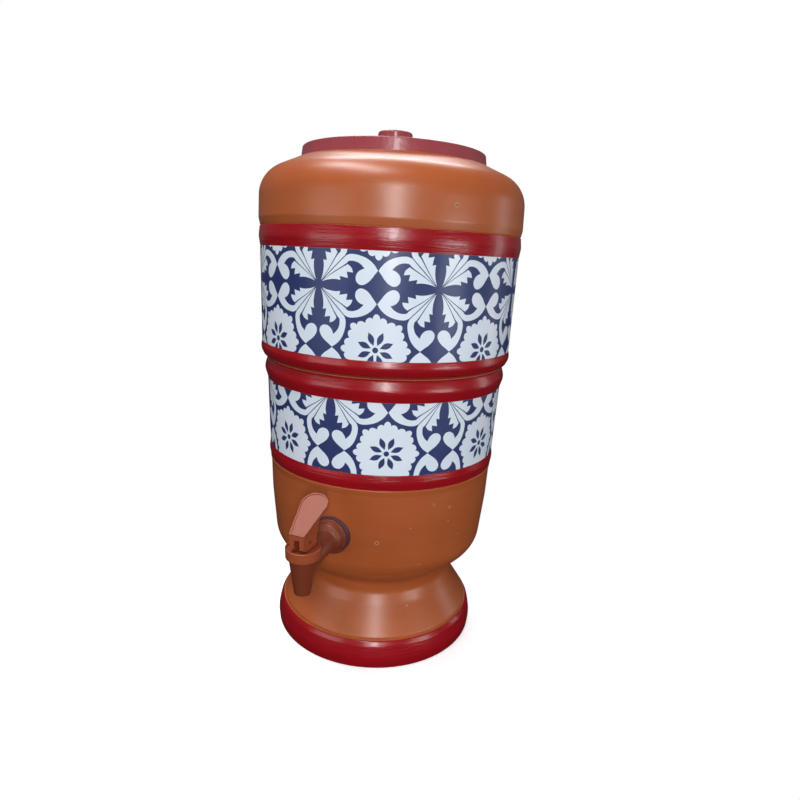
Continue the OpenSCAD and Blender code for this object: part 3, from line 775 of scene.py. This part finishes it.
# %% [markdown]
# The tile is repeated into a flat sheet, trimmed to the film's height and length, and
# cut into narrow upright strips, because only the cuts let it bend. Then each point is
# wrapped onto the wall, which is a slightly opening cone. The film is butted at the
# back of the pot. Its thickness is added inwards, and the exact direction of the wall
# is stored as custom normals, so that the print's many small faces can't dimple it.

# %% Sizes of the bands
FILM = 0.35
SLIP = 0.05
BUTT = 0.1
STRIPS = 18

band_finishes = []
print("film", FILM, "mm thick, one strip", round(TILE / STRIPS, 2), "mm wide")


def band(name, wall, low, high, cross_azimuth, cross_height):
    """A printed film on a wall, with a cross's centre at an azimuth and a height."""
    radius = (wall(low) + wall(high)) / 2 + SLIP + FILM
    around = 2 * math.pi * radius
    bm = tile.copy()
    for strip in range(1, STRIPS):
        cut = (-HALF_TILE + strip * TILE / STRIPS, 0, 0)
        bmesh.ops.bisect_plane(
            bm, geom=whole(bm), dist=CUT_TOLERANCE, plane_co=cut, plane_no=(1, 0, 0),
        )
    first = whole(bm)
    shift = math.radians(cross_azimuth) * radius
    columns = math.ceil(around / TILE / 2) + 1
    for column in range(-columns, columns + 1):
        for row in (-1, 0):
            copy = bmesh.ops.duplicate(bm, geom=first)["geom"]
            verts = [part for part in copy if isinstance(part, bmesh.types.BMVert)]
            place = (column * TILE + shift, row * TILE + cross_height, 0)
            bmesh.ops.translate(bm, verts=verts, vec=place)
    bmesh.ops.delete(bm, geom=first, context="VERTS")
    bmesh.ops.remove_doubles(bm, verts=bm.verts, dist=COPY_WELD)
    trimmed(bm, (around / 2 - BUTT, 0, 0), (1, 0, 0))
    trimmed(bm, (BUTT - around / 2, 0, 0), (-1, 0, 0))
    trimmed(bm, (0, high, 0), (0, 1, 0))
    trimmed(bm, (0, low, 0), (0, -1, 0))
    bmesh.ops.triangulate(bm, faces=bm.faces)
    for vert in bm.verts:
        azimuth, height = math.degrees(vert.co.x / radius), vert.co.y
        vert.co = on_wall(azimuth, height, wall(height) + SLIP + FILM)
    bmesh.ops.recalc_face_normals(bm, faces=bm.faces)
    sample = next(iter(bm.faces))
    if sample.normal.dot(Vector((*sample.calc_center_median().xy, 0))) < 0:
        bmesh.ops.reverse_faces(bm, faces=bm.faces)
    return thickened(name, bm)


# %% Thickness and exact normals of a film
FRONT_LEAN = 0.8


def thickened(name, bm):
    """Gives the film its thickness. Faces that lean less than FRONT_LEAN are edges."""
    print(name, "front has", len(bm.faces), "triangles")
    piece = finished(name, bm, band_finishes, sharp=60)
    body = piece.modifiers.new("film", "SOLIDIFY")
    body.thickness = FILM * MM
    body.offset = -1
    body.use_quality_normals = True
    mesh = baked(piece)
    piece.modifiers.clear()
    piece.data = mesh
    normals = []
    for face in mesh.polygons:
        for index in face.loop_indices:
            point = mesh.vertices[mesh.loops[index].vertex_index].co
            away = Vector((point.x, point.y, 0)).normalized()
            lean = face.normal.dot(away)
            on_edge = abs(lean) < FRONT_LEAN
            normals.append(face.normal if on_edge else away * math.copysign(1, lean))
    mesh.normals_split_custom_set(normals)
    return piece


# %% [markdown]
# The film is printed in two inks on a white ground and lacquered. The white keeps a
# cool cast from the blue around it. Both inks vary a little in depth, as a transfer
# print does, and the lacquer over them is smooth and glossy.

# %% Inks of the printed film
def printed(name, first, second):
    ink = Finish(name, Roughness=0.45, Coat_Roughness=0.2)
    depth = ink.noise(0.018, detail=3)
    grain = ink.noise(0.0007, detail=2)
    ripple = ink.noise(0.03, detail=2)
    ink.show(
        Base_Color=ink.mix(depth * 0.8 + grain * 0.2, tint(first), tint(second)),
        Coat_Weight=0.1 + depth * 0.1,
        Normal=ink.bump(ripple * 0.8 + grain * 0.02, 0.0004),
    )
    return ink.material


band_finishes += [
    printed("printed_white", "dfebfc", "ebf4ff"),
    printed("printed_blue", "1d2b60", "2b3b76"),
]
print("inks:", [ink.name for ink in band_finishes])

# %% Wrap both bands
tile_band_upper = band("tile_band_upper", upper_wall, 291.3, 375.3, -5.6, 348.1)
tile_band_lower = band("tile_band_lower", lower_wall, 193.8, 256.5, -0.9, 261.4)

# %% [markdown]
# ## Moulded plastics and rubber
#
# The lid and the tap are moulded. The lid is high gloss with a shallow orange-peel,
# which shows as a soft break-up of the long highlights. The tap's plastic is satin and
# finer. Its body, lever and bonnet are one plastic in two copies: the lever and bonnet
# are painted lighter as painted light from above, and the body darker as painted shade.
# The candle's base, its nut and the float's valve are food-grade white plastic. The
# seals are rubber with a dull bloom, the candle is porous ceramic, the float is foam,
# and the spring and the lever's pin are drawn steel.


# %% Moulded plastics
def moulded(name, first, second, roughness, coat, peel=0.0002, peel_size=0.004):
    plastic = Finish(name, Coat_Roughness=0.06)
    swirl = plastic.noise(0.045, detail=3, roughness=0.6)
    skin = plastic.noise(peel_size, detail=2)
    grain = plastic.noise(0.0004, detail=2)
    plastic.show(
        Base_Color=plastic.mix(swirl * 0.8 + grain * 0.2, tint(first), tint(second)),
        Roughness=roughness + swirl * 0.05 + grain * 0.03,
        Coat_Weight=coat + skin * 0.1,
        Normal=plastic.bump(skin + grain * 0.1, peel),
    )
    return plastic.material


FINE_PEEL = {"peel": 0.0001, "peel_size": 0.002}
GLOSSY_LID = moulded("glossy_lid_plastic", "923e45", "a24c53", 0.24, 0.1)
# One satin plastic in two copies: the darker one, on the body, nut and stem, is painted shade,
# and the lighter one, on the lever and bonnet, is painted light.
SHADED_TAP_MOULDING = moulded("tap_plastic", "70301b", "823b24", 0.42, 0.0, **FINE_PEEL)
LIT_TAP_MOULDING = moulded("tap_moulding_painted_light", "964527", "a85232", 0.42, 0.0, **FINE_PEEL)
WHITE_PLASTIC = moulded("white_plastic", "e2e4e2", "ecedeb", 0.3, 0.1, peel=0.0001)
print("plastics:", GLOSSY_LID.name, SHADED_TAP_MOULDING.name, LIT_TAP_MOULDING.name, WHITE_PLASTIC.name)


# %% Rubber, ceramic, foam and steel
def rubber():
    skin = Finish("dark_rubber", Specular_IOR_Level=0.4)
    bloom = skin.noise(0.012, detail=4)
    grain = skin.noise(0.0005, detail=3)
    skin.show(
        Base_Color=skin.mix(bloom, tint("402229"), tint("653c48")),
        Roughness=0.55 + bloom * 0.2,
        Normal=skin.bump(grain, 0.0001),
    )
    return skin.material


def candle_ceramic():
    ceramic = Finish("candle_ceramic")
    pores = ceramic.noise(0.0006, detail=4, roughness=0.7)
    patch = ceramic.noise(0.03, detail=3)
    ceramic.show(
        Base_Color=ceramic.mix(pores * 0.5 + patch * 0.5, tint("e2dccd"), tint("f3efe6")),
        Roughness=0.85 + pores * 0.1,
        Normal=ceramic.bump(pores, 0.0002),
    )
    return ceramic.material


def float_foam():
    foam = Finish("float_foam")
    cells = {"Vector": foam.place, "Scale": 450}
    bead = foam.node("TexVoronoi", sockets=cells)
    shade = foam.noise(0.02, detail=3)
    foam.show(
        Base_Color=foam.mix(bead * 0.6 + shade * 0.4, tint("f2f1ec"), tint("dcdad2")),
        Roughness=0.7 + bead * 0.15,
        Normal=foam.bump(1 - bead, 0.0003),
    )
    return foam.material


def drawn_steel():
    steel = Finish("drawn_steel", Metallic=1.0)
    lines = steel.noise(0.002, detail=3, stretch=(1, 1, 8))
    steel.show(
        Base_Color=steel.mix(lines, tint("a9acb0"), tint("c9ccd0")),
        Roughness=0.22 + lines * 0.15,
        Normal=steel.bump(lines, 0.00005),
    )
    return steel.material


RUBBER = rubber()
STEEL = drawn_steel()
print("other finishes:", RUBBER.name, STEEL.name)

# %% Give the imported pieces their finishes
finishes = {
    "lid": GLOSSY_LID,
    "candle_shell": candle_ceramic(),
    "candle_base": WHITE_PLASTIC,
    "wing_nut": WHITE_PLASTIC,
    "float_valve": WHITE_PLASTIC,
    "float": float_foam(),
    # The tap's body, nut and stem take the darker copy as painted shade, and the bonnet and
    # lever take the lighter copy as painted light.
    "tap_body": SHADED_TAP_MOULDING,
    "backnut": SHADED_TAP_MOULDING,
    "bonnet": LIT_TAP_MOULDING,
    "lever": LIT_TAP_MOULDING,
    "valve_stem": SHADED_TAP_MOULDING,
    "valve_spring": STEEL,
    "lever_pin": STEEL,
    "candle_gasket": RUBBER,
    "stem_washer": RUBBER,
    "outer_washer": RUBBER,
    "inner_washer": RUBBER,
    "bonnet_gasket": RUBBER,
    "seat_cup": RUBBER,
}
for name, material in finishes.items():
    for place in nodes[name].material_slots:
        place.material = material
print("packed pieces with a finish:", len(finishes))

# %% [markdown]
# ## Riding on the joints
#
# The new pieces stand for packed ones. Each rides on the same body, so that lifting
# the upper chamber takes its band along.

# %% Bodies of the new pieces
for piece, body, node, slot in (
    (clay_bowl, "base", "lower_chamber", "painted_clay"),
    (tile_band_lower, "base", "lower_band", "printed_film"),
    (clay_top, "upper", "upper_chamber", "painted_clay"),
    (tile_band_upper, "upper", "upper_band", "printed_film"),
):
    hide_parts(node)
    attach(piece, body)
    print(piece.name, "stands for", node, "on", body)

# %% [markdown]
# ## Studio
#
# The pot stands on a pale floor under soft light. A tall narrow sheet in front draws
# the upright highlight on the shoulder, two low ones fill the sides of the bowl, and a
# narrow window stands to the right. A long sheet hangs overhead on the left: it is what
# the lever's plate and the top of the shoulder reflect. One behind keeps the back from
# going dark. The floor keeps the soft shadow near the pot and fades to the white of the
# background further out, so no horizon shows.

# %% Camera
VIEW_AZIMUTH = 21.7
VIEW_DISTANCE = 0.5733
VIEW_HEIGHT = 0.3727
VIEW_PITCH = 13.73
VIEW_YAW = 1.64
VIEW_ROLL = 2.97
FOCAL_PIXELS = 591.3
IMAGE_SIZE = 800
SENSOR_WIDTH = 36


def turn(degrees, axis):
    return Matrix.Rotation(math.radians(degrees), 4, axis)


camera_data = bpy.data.cameras.new("camera")
camera_data.sensor_width = SENSOR_WIDTH
camera_data.lens = SENSOR_WIDTH * FOCAL_PIXELS / IMAGE_SIZE
camera_data.clip_start = 0.01
camera = bpy.data.objects.new("camera", camera_data)
stand = Matrix.Translation((
    VIEW_DISTANCE * math.sin(math.radians(VIEW_AZIMUTH)),
    -VIEW_DISTANCE * math.cos(math.radians(VIEW_AZIMUTH)),
    VIEW_HEIGHT,
))
camera.matrix_world = (
    stand @ turn(VIEW_AZIMUTH, "Z") @ turn(-VIEW_YAW, "Z")
    @ turn(90 - VIEW_PITCH, "X") @ turn(VIEW_ROLL, "Z")
)
bpy.context.scene.collection.objects.link(camera)
bpy.context.scene.camera = camera
print("lens", round(camera_data.lens, 1), "mm")


# %% Lights
AIM_HEIGHT = 0.25


def sheet_of_light(name, azimuth, height, distance, width, tall, power):
    """A rectangle of light at an azimuth from the camera's, facing the pot."""
    light = bpy.data.lights.new(name, "AREA")
    light.shape = "RECTANGLE"
    light.size = width
    light.size_y = tall
    light.energy = power
    lamp = bpy.data.objects.new(name, light)
    angle = math.radians(VIEW_AZIMUTH + azimuth)
    lamp.location = (distance * math.sin(angle), -distance * math.cos(angle), height)
    facing = Vector((0, 0, AIM_HEIGHT)) - lamp.location
    lamp.rotation_euler = facing.to_track_quat("-Z", "Y").to_euler()
    bpy.context.scene.collection.objects.link(lamp)
    print(name, "light is", round(facing.length, 2), "m from what it faces")


# Name, azimuth, height, distance, width, upright size and power
for row in (
    ("front", 2, 0.74, 1.8, 0.18, 1.0, 17),
    ("left_low", -50, 0.35, 1.5, 0.9, 0.5, 3.4),
    ("right_low", 52, 0.25, 1.6, 0.6, 0.35, 5),
    ("right_window", 100, 0.35, 1.2, 0.2, 0.7, 1),
    ("overhead", -62, 1.6, 0.46, 1.1, 0.26, 12),
    ("back_fill", 178, 2.1, 1.4, 1.4, 0.5, 22),
):
    sheet_of_light(*row)

# %% A world that is white to look at and dim as a light
WHITE_LIGHT = (1, 1, 1, 1)
SKY_GLOW = 0.1

world = bpy.data.worlds.new("studio")
bpy.context.scene.world = world
sky = Board(world)
looked_at = sky.node("LightPath", out="Is Camera Ray")
looked_through = sky.node("LightPath", out="Is Transmission Ray")
shown = looked_at.math("MAXIMUM", looked_at, looked_through)
strength = shown * (1 - SKY_GLOW) + SKY_GLOW
sky.feed(sky.tree.nodes["Background"], {"Color": WHITE_LIGHT, "Strength": strength})
bpy.context.scene.view_settings.view_transform = "Standard"
print("the sky lights the pot with a strength of", SKY_GLOW)

# %% Floor
FLOOR_RADIUS = 6
SHADOW_CENTRE = (0.02, -0.05, 0)
SHADOW_REACH = (0.12, 0.34)
FLOOR_GLOW = 0.5

floor_mesh = bmesh.new()
bmesh.ops.create_circle(floor_mesh, cap_ends=True, segments=96, radius=FLOOR_RADIUS)
floor = finished("floor", floor_mesh, [])
ground = Finish("pale_floor", Roughness=0.9, Specular_IOR_Level=0.2)
dust = ground.noise(0.3, detail=3)
seen = ground.node("LightPath", out="Is Camera Ray")
pale = ground.mix(dust, tint("f2f2f2"), tint("f7f7f7"))
ground.show(
    Base_Color=ground.mix(seen, tint("202020"), pale),
    Emission_Color=ground.mix(seen, (0, 0, 0, 1), WHITE_LIGHT),
    Emission_Strength=FLOOR_GLOW,
)
away = ground.point_distance(SHADOW_CENTRE)
white = ground.node("Emission", sockets={"Color": WHITE_LIGHT, "Strength": 1.0})
fade = ground.ramp(away, *SHADOW_REACH) * seen
lit = Wire(ground, ground.shader.outputs[0])
blend = ground.node("MixShader", sockets={0: fade, 1: lit, 2: white})
ground.feed(ground.tree.nodes["Material Output"], {"Surface": blend})
floor.data.materials.append(ground.material)
